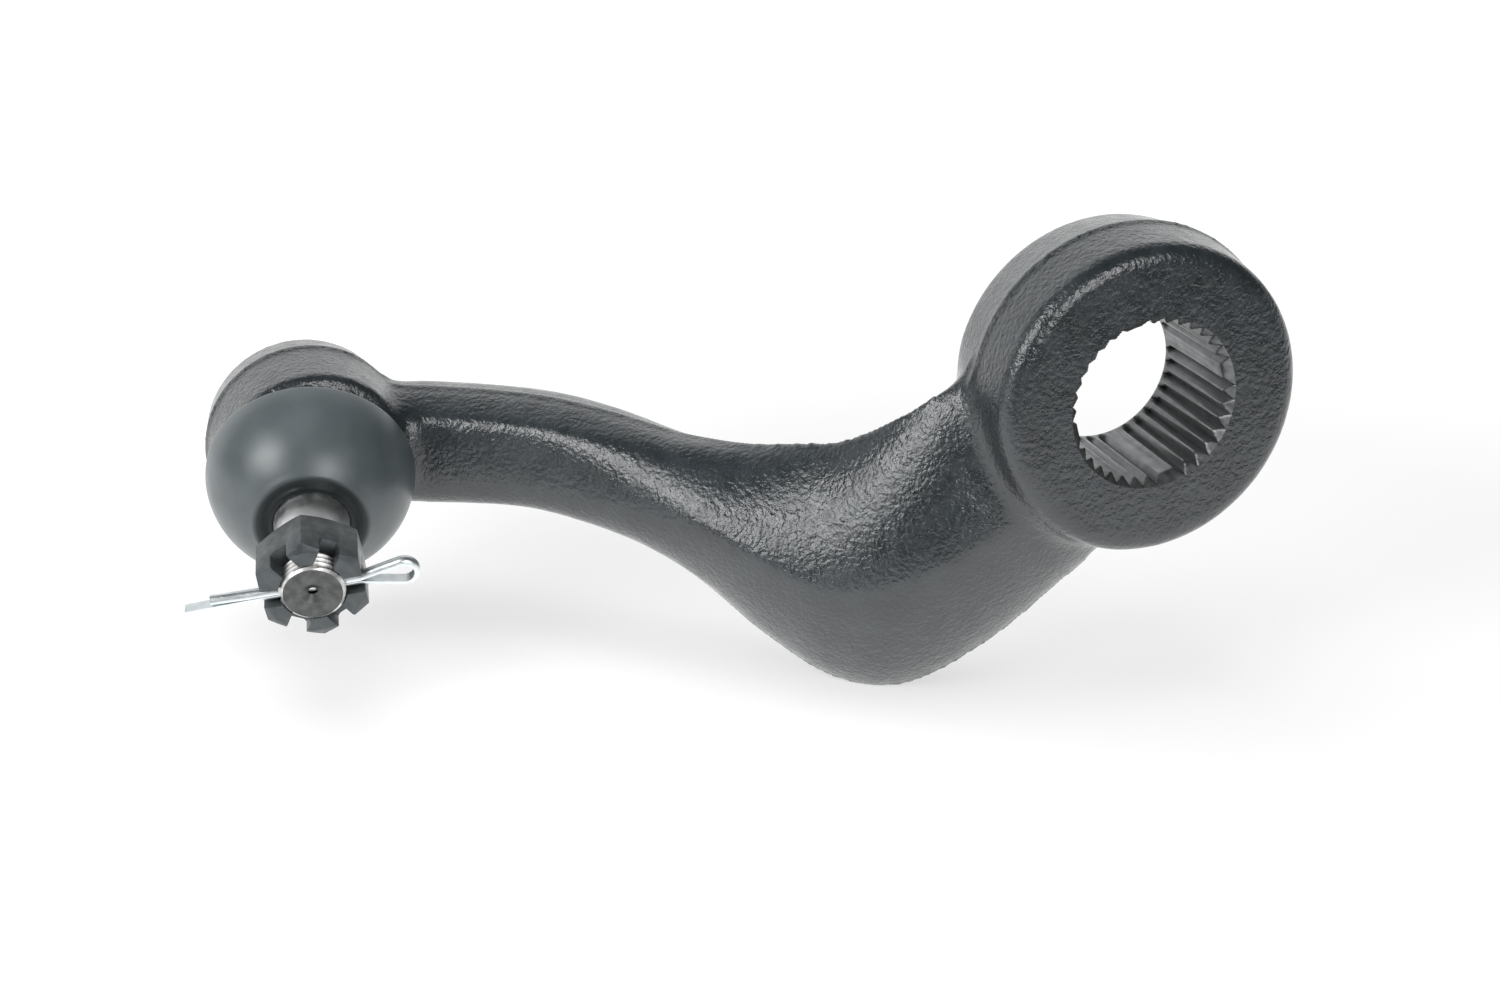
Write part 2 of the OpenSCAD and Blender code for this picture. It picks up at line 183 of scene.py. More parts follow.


# %% [markdown]
# ## Finishes
# All the finishes are node trees on Object coordinates, so they need no picture files and no unwrapping.
# One metre is one unit here, so a noise of scale 500 has bumps of about two millimetres.
# The forging's paint is thin black over a scaled surface: the grain comes from three noises in the bump,
# and the gloss changes from place to place. The painted shade in the thread's valleys and on the boot's collar
# is read from attributes that the meshes carry.

# %% Small helpers for shader trees
TINT_SPAN, GLOSS_SPAN = (0.35, 0.65), (0.3, 0.7)  # the part of a noise's range that is used


def finish_tree(name, colour, rough, metal=0.0):
    material = bpy.data.materials.new(name)
    material.use_nodes = True
    shader = material.node_tree.nodes["Principled BSDF"]
    shader.inputs["Base Color"].default_value = (*colour, 1)
    shader.inputs["Roughness"].default_value = rough
    shader.inputs["Metallic"].default_value = metal
    material.diffuse_color = (*colour, 1)
    return material, material.node_tree, shader


def new_nodes(tree, *kinds):
    return [tree.nodes.new(kind) for kind in kinds]


def joined(tree, *pairs):
    """One link for each pair of an output and an input."""
    for giver, taker in pairs:
        tree.links.new(giver, taker)


def grain(tree, scale, detail, stretch=(1, 1, 1)):
    where, mapping, noise = new_nodes(
        tree, "ShaderNodeTexCoord", "ShaderNodeMapping", "ShaderNodeTexNoise")
    mapping.inputs["Scale"].default_value = stretch
    noise.inputs["Scale"].default_value = scale
    noise.inputs["Detail"].default_value = detail
    joined(tree, (where.outputs["Object"], mapping.inputs["Vector"]),
           (mapping.outputs["Vector"], noise.inputs["Vector"]))
    return noise.outputs["Fac"]


def attribute(tree, name):
    node = tree.nodes.new("ShaderNodeAttribute")
    node.attribute_name = name
    return node.outputs["Fac"]


def marked(tree, colour, mark, other):
    """The colour, and the other one where the mark is 1."""
    mix = tree.nodes.new("ShaderNodeMix")
    mix.data_type = "RGBA"
    mix.inputs["B"].default_value = (*other, 1)
    joined(tree, (mark, mix.inputs["Factor"]), (colour, mix.inputs["A"]))
    return mix.outputs["Result"]


def ranged(tree, value, low, high, to_low, to_high):
    node = tree.nodes.new("ShaderNodeMapRange")
    for key, number in (("From Min", low), ("From Max", high), ("To Min", to_low), ("To Max", to_high)):
        node.inputs[key].default_value = number
    tree.links.new(value, node.inputs["Value"])
    return node.outputs["Result"]


def tinted(tree, value, dark, light):
    ramp = tree.nodes.new("ShaderNodeValToRGB")
    for stop, position, colour in zip(ramp.color_ramp.elements, TINT_SPAN, (dark, light)):
        stop.position, stop.color = position, (*colour, 1)
    tree.links.new(value, ramp.inputs["Fac"])
    return ramp.outputs["Color"]


def raised(tree, shader, layers):
    """Bump nodes one on top of the other: (height, depth in millimetres, strength)."""
    last = None
    for height, depth, strength in layers:
        bump = tree.nodes.new("ShaderNodeBump")
        bump.inputs["Distance"].default_value = depth * MM
        bump.inputs["Strength"].default_value = strength
        tree.links.new(height, bump.inputs["Height"])
        if last:
            tree.links.new(last, bump.inputs["Normal"])
        last = bump.outputs["Normal"]
    tree.links.new(last, shader.inputs["Normal"])


def grained_finish(name, colour, rough, metal, tint, bumps, gloss=None, mark=None):
    """A finish from noises (scale, detail, stretch): tint is (noise, dark, light), gloss is (noise, least, most),
    a bump is (noise, depth in millimetres, strength), and mark is (attribute, colour where it is 1)."""
    material, tree, shader = finish_tree(name, colour, rough, metal)
    base = tinted(tree, grain(tree, *tint[0]), *tint[1:])
    if mark:
        base = marked(tree, base, attribute(tree, mark[0]), mark[1])
    tree.links.new(base, shader.inputs["Base Color"])
    if gloss:
        tree.links.new(ranged(tree, grain(tree, *gloss[0]), *GLOSS_SPAN, *gloss[1:]), shader.inputs["Roughness"])
    raised(tree, shader, [(grain(tree, *noise), depth, strength) for noise, depth, strength in bumps])
    return material


# %% Paint on the forging
PAINT_IOR = 1.62
paint = grained_finish(
    "black_forging_paint", (0.015, 0.0195, 0.0222), 0.34, 0.0,
    tint=((160, 5), (0.011, 0.0148, 0.017), (0.019, 0.0245, 0.0278)),
    gloss=((300, 3), 0.2, 0.33),
    bumps=[((110, 2), 0.6, 0.16), ((560, 3), 0.34, 0.42), ((1200, 3), 0.26, 0.8)])
paint.node_tree.nodes["Principled BSDF"].inputs["IOR"].default_value = PAINT_IOR

# %% Metals, rubber and moulded plastic
# the noises of the broached steel are drawn out along the bore
broached = grained_finish(
    "oiled_broached_steel", (0.11, 0.115, 0.116), 0.36, 0.8,
    tint=((900, 4, (1, 0.06, 1)), (0.08, 0.084, 0.086), (0.145, 0.15, 0.152)),
    gloss=((500, 3), 0.3, 0.46),
    bumps=[((1800, 2, (1, 0.04, 1)), 0.05, 0.35)])
steel = grained_finish(
    "turned_bare_steel", (0.62, 0.63, 0.63), 0.28, 1.0,
    tint=((450, 4), (0.84, 0.85, 0.85), (0.92, 0.93, 0.93)),
    gloss=((700, 3), 0.3, 0.46),
    bumps=[((900, 2), 0.03, 0.1)])
# The thread's valleys are painted darker where the valley attribute is 1: a painted shade for the hollows between the
# crests
thread_steel = grained_finish(
    "rolled_thread_steel", (0.36, 0.36, 0.35), 0.36, 0.95,
    tint=((800, 5), (0.42, 0.42, 0.41), (0.62, 0.62, 0.61)),
    gloss=((900, 3), 0.28, 0.5),
    bumps=[((1700, 3), 0.05, 0.2)],
    mark=("valley", (0.07, 0.07, 0.068)))
stud_end = grained_finish(
    "sawn_stud_end", (0.11, 0.112, 0.112), 0.42, 0.85,
    tint=((500, 4), (0.06, 0.062, 0.062), (0.1, 0.102, 0.102)),
    bumps=[((900, 3), 0.04, 0.2)])
phosphate = grained_finish(
    "dark_phosphate", (0.1, 0.113, 0.114), 0.4, 0.6,
    tint=((420, 5), (0.052, 0.06, 0.063), (0.073, 0.082, 0.086)),
    gloss=((800, 3), 0.33, 0.52),
    bumps=[((900, 3), 0.05, 0.2)])
zinc = grained_finish(
    "bright_zinc", (0.64, 0.69, 0.72), 0.24, 1.0,
    tint=((600, 4), (0.6, 0.645, 0.655), (0.68, 0.725, 0.735)),
    gloss=((900, 3), 0.34, 0.46),
    bumps=[((300, 2), 0.04, 0.06)])
# Painted shade on the boot's collar: where the collar's attribute is 1, the rubber is painted near-black and its IOR
# is lowered, standing in for the nut's shadow
UNSHADED_IOR, SHADED_IOR = 1.58, 1.3
rubber = grained_finish(
    "boot_rubber", (0.036, 0.043, 0.046), 0.36, 0.0,
    tint=((110, 3), (0.046, 0.058, 0.062), (0.061, 0.075, 0.08)),
    gloss=((140, 3), 0.34, 0.43),
    bumps=[((240, 2), 0.25, 0.12), ((1800, 2), 0.03, 0.25)],
    mark=("painted_collar_shade", (0.008, 0.011, 0.012)))
tree = rubber.node_tree
tree.links.new(ranged(tree, attribute(tree, "painted_collar_shade"), 0, 1, UNSHADED_IOR, SHADED_IOR),
               tree.nodes["Principled BSDF"].inputs["IOR"])
plate = grained_finish(
    "black_plated_steel", (0.05, 0.052, 0.055), 0.4, 0.6,
    tint=((300, 5), (0.043, 0.045, 0.049), (0.06, 0.063, 0.066)),
    gloss=((500, 3), 0.3, 0.5),
    bumps=[((1100, 3), 0.06, 0.4)])
bearing_metal = grained_finish(
    "sintered_bearing_metal", (0.34, 0.29, 0.2), 0.45, 0.9,
    tint=((900, 5), (0.25, 0.21, 0.15), (0.4, 0.34, 0.24)),
    bumps=[((1900, 3), 0.05, 0.4)])
seat_plastic = grained_finish(
    "moulded_seat_plastic", (0.55, 0.52, 0.43), 0.48, 0.0,
    tint=((260, 3), (0.5, 0.47, 0.39), (0.6, 0.57, 0.48)),
    bumps=[((900, 2), 0.04, 0.3)])
spring_steel = grained_finish(
    "blued_spring_steel", (0.14, 0.16, 0.2), 0.32, 1.0,
    tint=((380, 4), (0.1, 0.12, 0.16), (0.2, 0.22, 0.25)),
    bumps=[((1500, 2), 0.03, 0.3)])
print("finishes:", len(bpy.data.materials))

# %% [markdown]
# ## The forging
# The arm, the boss and the socket housing were hammered as one lump between two dies. The dies leave sloping walls,
# wide fillets where the parts meet, and a thin trimmed flash along the line where the dies closed.
# Booleans would leave hard creases at the joins. Here the three solids are drawn from the same sizes as the frame,
# melted together by a voxel remesh, and relaxed only near the joins, which grows the fillets.
# On the thin half of the arm the upper front corner falls away in a slope, so a thin bright line is left on top.

# %% Sections of the arm
BOSS_R, BOSS_T, DRAFT, BOSS_ROUND = 31.2, 26.0, 7.0, 3.5
SOCKET_R, SOCKET_PART, SOCKET_FRONT, SOCKET_BACK = 20.2, 3.5, 11.0, 8.0
SPIGOT_R, SPIGOT_TOP, FRONT_ROUND, BACK_ROUND = 15.5, 13.0, 2.0, 1.0
RIM_R, RIM_ROUND, LIP_Z = 16.8, 0.8, -18.4
ARM_H, ARM_T = 53.0, 27.0
STATIONS, RING, STEP_ALONG = 177, 96, 0.02
# the slope on the thin half: its height over the middle and its fall, both in half heights of the section,
# how softly it meets the top, the row from which it sets in, and over how many rows
SLOPE_TOP, SLOPE_FALL, SLOPE_SOFT, SLOPE_FROM, SLOPE_GROWS = 1.1, 0.43, 0.12, 6.6, 1.2
# shares of reach, set-back, drop, height and thickness, then the turn and the squareness of the section
arm_rows = np.array([
    [0.06, 0.015, 0.3097, 0.9527, 0.7778, -36, 1.7],
    [0.155, 0.048, 0.8805, 0.9332, 0.8704, -29, 1.4],
    [0.22, 0.082, 1.2478, 0.9858, 0.9444, -18, 1.35],
    [0.29, 0.144, 1.5442, 1.0251, 1, -6.8, 1.35],
    [0.352, 0.226, 1.6372, 0.932, 1, -0.4, 1.35],
    [0.415, 0.322, 1.5177, 0.7565, 0.9444, 7.5, 1.35],
    [0.478, 0.432, 1.3584, 0.5604, 0.8704, 14.3, 1.5],
    [0.542, 0.562, 1.2345, 0.4509, 0.7963, 16.4, 2.1],
    [0.622, 0.719, 1.1062, 0.4325, 0.7407, 8.6, 2.9],
    [0.706, 0.849, 1.0398, 0.429, 0.7222, 4.5, 3.4],
    [0.846, 0.986, 1.0354, 0.4507, 0.7037, 3, 3.2],
    [1, 1 + SOCKET_PART / SETBACK, 1, 0.4507, 0.7037, 0, 3.2],
])
LAST_ROW = len(arm_rows) - 1
padded_rows = np.vstack([2 * arm_rows[0] - arm_rows[1], arm_rows, 2 * arm_rows[-1] - arm_rows[-2]])


def arm_row(s):
    """Sizes of the section at s, counted in rows, on a smooth curve through the rows."""
    i = min(int(s), LAST_ROW - 1)
    t = s - i
    a, b, c, d = padded_rows[i:i + 4]
    square, cube = a - 2.5 * b + 2 * c - d / 2, 1.5 * b - a / 2 - 1.5 * c + d / 2
    return b + t * (c - a) / 2 + t * t * square + t ** 3 * cube


def arm_middle(s):
    row = arm_row(s)
    return np.array([-REACH * row[0], SETBACK * row[1], -DROP * row[2]])


def squarer(v, power):
    return np.sign(v) * np.abs(v) ** (2 / power)


def arm_section(s, count):
    """Points round the section at s; the upper front corner of the thin half is cut off in a slope."""
    height, thickness, turn, square = arm_row(s)[3:]
    ahead = arm_middle(min(s + STEP_ALONG, LAST_ROW)) - arm_middle(max(s - STEP_ALONG, 0))
    up = np.array([math.sin(math.radians(turn)), 0, math.cos(math.radians(turn))])
    side = np.cross(ahead, up)
    side /= np.linalg.norm(side)
    a = 2 * np.pi * np.arange(count) / count
    tall, wide = squarer(np.sin(a), square), squarer(np.cos(a), square)
    slope_at = SLOPE_TOP + SLOPE_FALL * wide
    sloped = (tall + slope_at - np.sqrt((tall - slope_at) ** 2 + SLOPE_SOFT ** 2)) / 2
    tall = tall + np.clip((s - SLOPE_FROM) / SLOPE_GROWS, 0, 1) * (sloped - tall)
    return arm_middle(s) + np.outer(ARM_H * height / 2 * tall, up) + np.outer(ARM_T * thickness / 2 * wide, side)


arm_points = np.vstack([arm_section(s, RING) for s in np.linspace(0, LAST_ROW, STATIONS)])
arm_faces = [[i * RING + j, i * RING + (j + 1) % RING, (i + 1) * RING + (j + 1) % RING, (i + 1) * RING + j]
             for i in range(STATIONS - 1) for j in range(RING)]
arm_faces += [list(range(RING))[::-1], list(range((STATIONS - 1) * RING, STATIONS * RING))]
print("arm sections:", STATIONS, "points:", len(arm_points))

# %% The boss and the housing, and all three melted together
VOXEL = 0.73
slope = math.tan(math.radians(DRAFT))
half = BOSS_T / 2
edge = BOSS_R - (half - BOSS_ROUND) * slope
boss_outline = ([(0, -half)]
                + arc((edge - BOSS_ROUND, BOSS_ROUND - half), BOSS_ROUND, -90, -DRAFT, 8)
                + [(BOSS_R, 0)]
                + arc((edge - BOSS_ROUND, half - BOSS_ROUND), BOSS_ROUND, DRAFT, 90, 8)
                + [(0, half)])
part, back = -SOCKET_PART, -SOCKET_PART - SOCKET_BACK
front_edge = SOCKET_R - (SOCKET_FRONT - FRONT_ROUND - part) * slope
housing_outline = ([(0, LIP_Z)] + arc((RIM_R - RIM_ROUND, LIP_Z + RIM_ROUND), RIM_ROUND, -90, 0, 6)
                   + [(RIM_R, back - BACK_ROUND)]
                   + arc((SOCKET_R - SOCKET_BACK * slope - BACK_ROUND, back), BACK_ROUND, -90, -DRAFT, 6)
                   + [(SOCKET_R, part)]
                   + arc((front_edge - FRONT_ROUND, SOCKET_FRONT - FRONT_ROUND), FRONT_ROUND, DRAFT, 90, 6)
                   + [(SPIGOT_R, SOCKET_FRONT), (SPIGOT_R, SPIGOT_TOP), (0, SPIGOT_TOP)])
boss_points, boss_faces = turned_shape(boss_outline, 192)
housing_points, housing_faces = turned_shape(housing_outline, 160)
lumps = [
    (arm_points, arm_faces),
    (placed(boss_points, bore_place), boss_faces),
    (placed(housing_points, socket_place), housing_faces),
]
all_points, all_faces = [], []
for points, faces in lumps:
    start = sum(len(p) for p in all_points)
    all_points.append(points)
    all_faces += [[v + start for v in face] for face in faces]
lump = mesh_object("lump", np.vstack(all_points), all_faces)
remesh = lump.modifiers.new("melt", "REMESH")
remesh.mode = "VOXEL"
remesh.voxel_size = VOXEL * MM
forging = baked(lump, "forging")
print("melted forging:", len(forging.data.vertices), "vertices")

# %% Fillets where the parts meet
EVEN_ROUNDS, EVEN_IN, EVEN_OUT = 6, 0.5, -0.52  # takes the steps of the voxels away without shrinking the lump
FILLET_REACH, FILLET_ROUNDS, FILLET_PULL = 6.0, 70, 0.5


def read_array(items, key, width, kind=float):
    flat = np.empty(len(items) * width, kind)
    items.foreach_get(key, flat)
    return flat.reshape(-1, width)


def relaxed(points, edges, weight, rounds):
    """Each point moved toward the middle of its neighbours, by its own weight."""
    a, b, count = edges[:, 0], edges[:, 1], len(points)
    near = np.bincount(a, minlength=count) + np.bincount(b, minlength=count)
    for _ in range(rounds):
        total = np.stack([np.bincount(a, points[b, c], count) + np.bincount(b, points[a, c], count)
                          for c in range(3)], 1)
        points = points + weight[:, None] * (total / near[:, None] - points)
    return points


skin = read_array(forging.data.vertices, "co", 3)
edges = read_array(forging.data.edges, "vertices", 2, np.int32)
every = np.ones(len(skin))
for _ in range(EVEN_ROUNDS):
    skin = relaxed(skin, edges, EVEN_IN * every, 1)
    skin = relaxed(skin, edges, EVEN_OUT * every, 1)
trees = [BVHTree.FromPolygons((np.asarray(p) * MM).tolist(), f) for p, f in lumps]
away = np.array([[tree.find_nearest(v)[3] for tree in trees] for v in skin.tolist()]) / MM
join = np.clip(1 - np.sort(away, 1)[:, 1] / FILLET_REACH, 0, 1)
skin = relaxed(skin, edges, FILLET_PULL * join, FILLET_ROUNDS)
print("points in the fillets:", int((join > 0).sum()))

# %% [markdown]
# The flash is a low crest that follows the parting line: round the middle of the boss, round the housing,
# and along the top and the bottom of the arm. The points near that line are pushed outward.

# %% The trimmed flash
FLASH_H, FLASH_W = 0.4, 0.7
BOSS_LINE, HOUSING_LINE, ARM_LINE = 700, 500, 900  # points along each stretch of the parting line


def circle(radius, z, count):
    return [(radius * math.cos(a), radius * math.sin(a), z) for a in np.linspace(0, 2 * np.pi, count)]


forging.data.vertices.foreach_set("co", skin.ravel())
forging.data.update()
normals = read_array(forging.data.vertices, "normal", 3)
round_boss = placed(circle(BOSS_R, 0, BOSS_LINE), bore_place)
round_housing = placed(circle(SOCKET_R, -SOCKET_PART, HOUSING_LINE), socket_place)
along_arm = [arm_section(s, 4) for s in np.linspace(0, LAST_ROW, ARM_LINE)]
top_line, bottom_line = [f[1] for f in along_arm], [f[3] for f in along_arm]
parting = np.vstack([round_boss, round_housing, top_line, bottom_line]) * MM
line = KDTree(len(parting))
for i, p in enumerate(parting.tolist()):
    line.insert(p, i)
line.balance()
from_line = np.array([line.find(p)[2] for p in skin.tolist()]) / MM
crest = FLASH_H * np.exp(-(from_line / FLASH_W) ** 2)
skin = skin + normals * crest[:, None] * MM
forging.data.vertices.foreach_set("co", skin.ravel())
forging.data.update()
print("highest crest of the flash in mm:", round(float(crest.max()), 2))

# %% [markdown]
# ## The serrated bore
# A broach cut thirty-six positions round the bore and left four of them blind, so the lever only fits four ways.
# The grooves grow shallower from the front to the back, and stop just before it. That is a rule of angle and depth,
# so a Geometry Nodes tree bends a grid into a plug with that rule, and one Boolean takes the plug out of the forging.
# A small class lets the rule be written as a formula instead of one line for each node.

# %% A formula for node sockets
WELD = 0.002  # points nearer to each other than this are one point


class Rule:
    """A socket that can be added, multiplied and compared, each step becoming one Math node."""

    def __init__(self, tree, socket):
        self.tree, self.socket = tree, socket

    def step(self, operation, *others):
        node = self.tree.nodes.new("ShaderNodeMath")
        node.operation = operation
        for place, value in zip(node.inputs, (self, *others)):
            if isinstance(value, Rule):
                self.tree.links.new(value.socket, place)
            else:
                place.default_value = value
        return Rule(self.tree, node.outputs[0])

    def __add__(self, other): return self.step("ADD", other)
    def __sub__(self, other): return self.step("SUBTRACT", other)
    def __mul__(self, other): return self.step("MULTIPLY", other)
    def __truediv__(self, other): return self.step("DIVIDE", other)
    def most(self, other): return self.step("MAXIMUM", other)
    def least(self, other): return self.step("MINIMUM", other)
    def above(self, other): return self.step("GREATER_THAN", other)
    def below(self, other): return self.step("LESS_THAN", other)
    def left_of(self, other): return self.step("FLOORED_MODULO", other)
    def floor(self): return self.step("FLOOR")
    def size(self): return self.step("ABSOLUTE")
    def sin(self): return self.step("SINE")
    def cos(self): return self.step("COSINE")
    def tan(self): return self.step("TANGENT")
    def other_way(self): return self * -1 + 1


def new_tree(name, numbers, geometry_in=False):
    """A Geometry Nodes tree with named inputs, and a rule for each of them."""
    tree = bpy.data.node_groups.new(name, "GeometryNodeTree")
    if geometry_in:
        tree.interface.new_socket("Geometry", in_out="INPUT", socket_type="NodeSocketGeometry")
    for label, value in numbers.items():
        tree.interface.new_socket(label, in_out="INPUT", socket_type="NodeSocketFloat").default_value = value
    tree.interface.new_socket("Geometry", in_out="OUTPUT", socket_type="NodeSocketGeometry")
    entry = tree.nodes.new("NodeGroupInput")
    return tree, {label: Rule(tree, entry.outputs[label]) for label in numbers}, entry


def bent_grid(tree, columns, rows):
    """A grid, with a rule for how far round (0 to 1) and for the row number of each point."""
    grid = tree.nodes.new("GeometryNodeMeshGrid")
    grid.inputs["Size X"].default_value = grid.inputs["Size Y"].default_value = 1.0
    grid.inputs["Vertices X"].default_value, grid.inputs["Vertices Y"].default_value = columns, rows
    at, split = new_nodes(tree, "GeometryNodeInputPosition", "ShaderNodeSeparateXYZ")
    tree.links.new(at.outputs[0], split.inputs[0])
    turn = Rule(tree, split.outputs["X"]) + 0.5
    row = ((Rule(tree, split.outputs["Y"]) + 0.5) * (rows - 1) + 0.5).floor()
    return grid.outputs["Mesh"], turn, row


def set_round(tree, mesh, radius, angle, height, material):
    """Puts each point at radius, angle and height, closes the seam, and ends the tree."""
    join, move, merge = new_nodes(
        tree, "ShaderNodeCombineXYZ", "GeometryNodeSetPosition", "GeometryNodeMergeByDistance")
    for key, value in (("X", radius * angle.cos()), ("Y", radius * angle.sin()), ("Z", height)):
        tree.links.new(value.socket, join.inputs[key])
    merge.inputs["Distance"].default_value = WELD * MM
    joined(tree, (mesh, move.inputs["Geometry"]), (join.outputs[0], move.inputs["Position"]),
           (move.outputs[0], merge.inputs["Geometry"]))
    end_tree(tree, merge.outputs[0], material)


def end_tree(tree, geometry, material):
    real, dress, out = new_nodes(
        tree, "GeometryNodeRealizeInstances", "GeometryNodeSetMaterial", "NodeGroupOutput")
    dress.inputs["Material"].default_value = material
    joined(tree, (geometry, real.inputs[0]), (real.outputs[0], dress.inputs["Geometry"]),
           (dress.outputs[0], out.inputs[0]))


def grown(name, tree, numbers, place, base=None):
    """The plain mesh that a tree makes with these numbers, put in its place."""
    holder = added(name + "_rule", base or bpy.data.meshes.new(name + "_rule"))
    modifier = holder.modifiers.new("rule", "NODES")
    modifier.node_group = tree
    for item in tree.interface.items_tree:
        if item.in_out == "INPUT" and item.name in numbers:
            modifier[item.identifier] = float(numbers[item.name])
    made = baked(holder, name)
    made.data.transform(Matrix.Scale(MM, 4) @ place @ Matrix.Scale(1 / MM, 4))
    return made


# %% The rule of the serrations
POSITIONS, COLUMNS_EACH, BORE_ROWS = 36, 16, 57
PAST_END = 1.0  # how far the plug stands out at both ends
RUN_OUT_RATE, RUN_OUT_SHARE = 0.8, 0.5  # how fast a groove sets in, and from what share of its depth
bore_sizes = {
    "Bore radius": 15 * MM, "Groove depth": 1.35 * MM, "Groove end": 1.15 * MM,
    "Groove half angle": math.radians(40), "Positions": POSITIONS, "Blind every": 9,
    "First blind": math.radians(16.5), "Run-out": 1.8 * MM, "Chamfer": 1.6 * MM, "Break": 0.8 * MM,
    "Length": BOSS_T * MM,
}
tree, given, _ = new_tree("serrated plug", bore_sizes)
mesh, turn, row = bent_grid(tree, POSITIONS * COLUMNS_EACH + 1, BORE_ROWS + 2)
half_length = given["Length"] * 0.5
height = ((row - 1).most(0).least(BORE_ROWS - 1) / (BORE_ROWS - 1) * 2 - 1) * (half_length + PAST_END * MM)
spot = turn * given["Positions"]
number = (spot + 0.5).floor()
off = (spot - number) / given["Positions"] * (2 * math.pi)
cut = number.left_of(given["Blind every"]).above(0.5)
run = height + half_length - given["Run-out"]
gain = given["Groove depth"] - given["Groove end"]
depth = run / (given["Length"] - given["Run-out"]) * gain + given["Groove end"]
setting_in = run * RUN_OUT_RATE + given["Groove end"] * RUN_OUT_SHARE
apex = given["Bore radius"] + depth.least(setting_in).most(0)
groove = apex / (off.cos() + off.sin().size() / given["Groove half angle"].tan())
lead_in = given["Bore radius"] + (height - half_length + given["Chamfer"]).most(0).least(given["Chamfer"])
broken = given["Bore radius"] + (given["Break"] - height - half_length).most(0).least(given["Break"])
wall = (groove * cut).most(given["Bore radius"]).most(lead_in).most(broken)
open_rows = row.above(0.5) * row.below(BORE_ROWS + 0.5)
set_round(tree, mesh, wall * open_rows, turn * (2 * math.pi) + given["First blind"], height, broached)
plug = grown("bore_plug", tree, bore_sizes, bore_place)
face_outward(plug.data)
print("serrated plug:", len(plug.data.polygons), "faces")

# %% The room inside the socket
CAVITY_R, THROAT_R, COVER_R, SEAT_BORE_R, LIP_R, MOUTH_R = 11.15, 9.6, 14.65, 13.55, 13.2, 13.0
COVER_FRONT_Z, COVER_BACK_Z, SEAT_FRONT_Z = -15.4, -17.2, -3.5
room_outline = ([(0, LIP_Z - 1), (LIP_R, LIP_Z - 1), (LIP_R, COVER_BACK_Z), (COVER_R, COVER_BACK_Z),
                 (COVER_R, COVER_FRONT_Z), (SEAT_BORE_R, COVER_FRONT_Z), (SEAT_BORE_R, SEAT_FRONT_Z),
                 (CAVITY_R, SEAT_FRONT_Z)]
                + arc((0, 0), CAVITY_R, 0, math.degrees(math.acos(THROAT_R / CAVITY_R)), 10)
                + [(MOUTH_R, SPIGOT_TOP), (MOUTH_R, SPIGOT_TOP + 1), (0, SPIGOT_TOP + 1)])
room = mesh_object("socket_room", *turned_shape(room_outline, 96), socket_place)
room.data.materials.append(paint)
face_outward(room.data)

# %% Both taken out of the forging
def carved(piece, cutter, name, operation="DIFFERENCE"):
    boolean = piece.modifiers.new("cut", "BOOLEAN")
    boolean.operation, boolean.solver, boolean.material_mode = operation, "EXACT", "TRANSFER"
    boolean.object = cutter
    made = baked(piece, name)
    bpy.data.objects.remove(cutter)
    return made


forging.data.materials.clear()
forging.data.materials.append(paint)
forging = carved(forging, plug, "forging_bored")
forging = carved(forging, room, "forging_skin")
smooth_shaded(forging, 38)
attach(forging, "arm")
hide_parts("arm_forging")
print("forging:", len(forging.data.polygons), "faces,", [m.name for m in forging.data.materials])

# %% [markdown]
# ## The boot
# The boot is a moulded rubber dome. It hangs over the front of the housing, leans with the stud and grips it with a
# thick collar, so it is drawn round the stud's axis. The collar's face gets a painted shade, darker and less glossy,
# for the shadow of the nut in front of it, and an attribute on the mesh says where. The lower edge of the boot is
# trimmed level with the housing, so it starts at another height in every direction: each ring is stretched to that
# start, and the lip is rolled over it.

# %% Rings of the dust boot
BOOT_R, BOOT_Z, SKIRT_Z, COLLAR_END, COLLAR_H, BOOT_WALL = 20.6, 8.7, 7.5, 26.3, 3.4, 1.4
TAPER_R, TAPER_START, TAPER_RATE, TAPER_L = 7.75, 18.5, 0.0625, 18.0
BOOT_POINTS, SEAM = 160, 0.02  # points in a ring, and the share of the dome left to the lip
COLLAR_EDGE = 0.9  # where the dome ends, below the end of the collar
GRIP_GAP = 0.05
# the painted shade on the collar's face, for the nut's shadow: how far in from the collar's edge, how wide it fades
# in, and how far down
SHADE_BACK, SHADE_FADE, SHADE_DEEP = 0.6, 1.2, 1.0  # in from the collar's edge, then fading in, and down
leaning = math.radians(LEAN)
around = 2 * np.pi * np.arange(BOOT_POINTS) / BOOT_POINTS
tilt = np.arctan2(np.cos(around) * math.sin(leaning), math.cos(leaning))
steep = np.hypot(np.cos(around) * math.sin(leaning), math.cos(leaning))
lip_start = np.maximum(0, tilt + np.arcsin((SKIRT_Z - BOOT_Z * math.cos(leaning)) / (BOOT_R * steep)))


def dome_ring(radius, angle):
    """Radius and height on a dome, where the angle may differ from point to point round the axis."""
    return radius * np.cos(angle) * np.ones(BOOT_POINTS), BOOT_Z + radius * np.sin(angle) * np.ones(BOOT_POINTS)


def flat_ring(r, z):
    return np.full(BOOT_POINTS, r), np.full(BOOT_POINTS, z)


def grip(z):
    return TAPER_R - TAPER_RATE * (z - TAPER_START) + GRIP_GAP


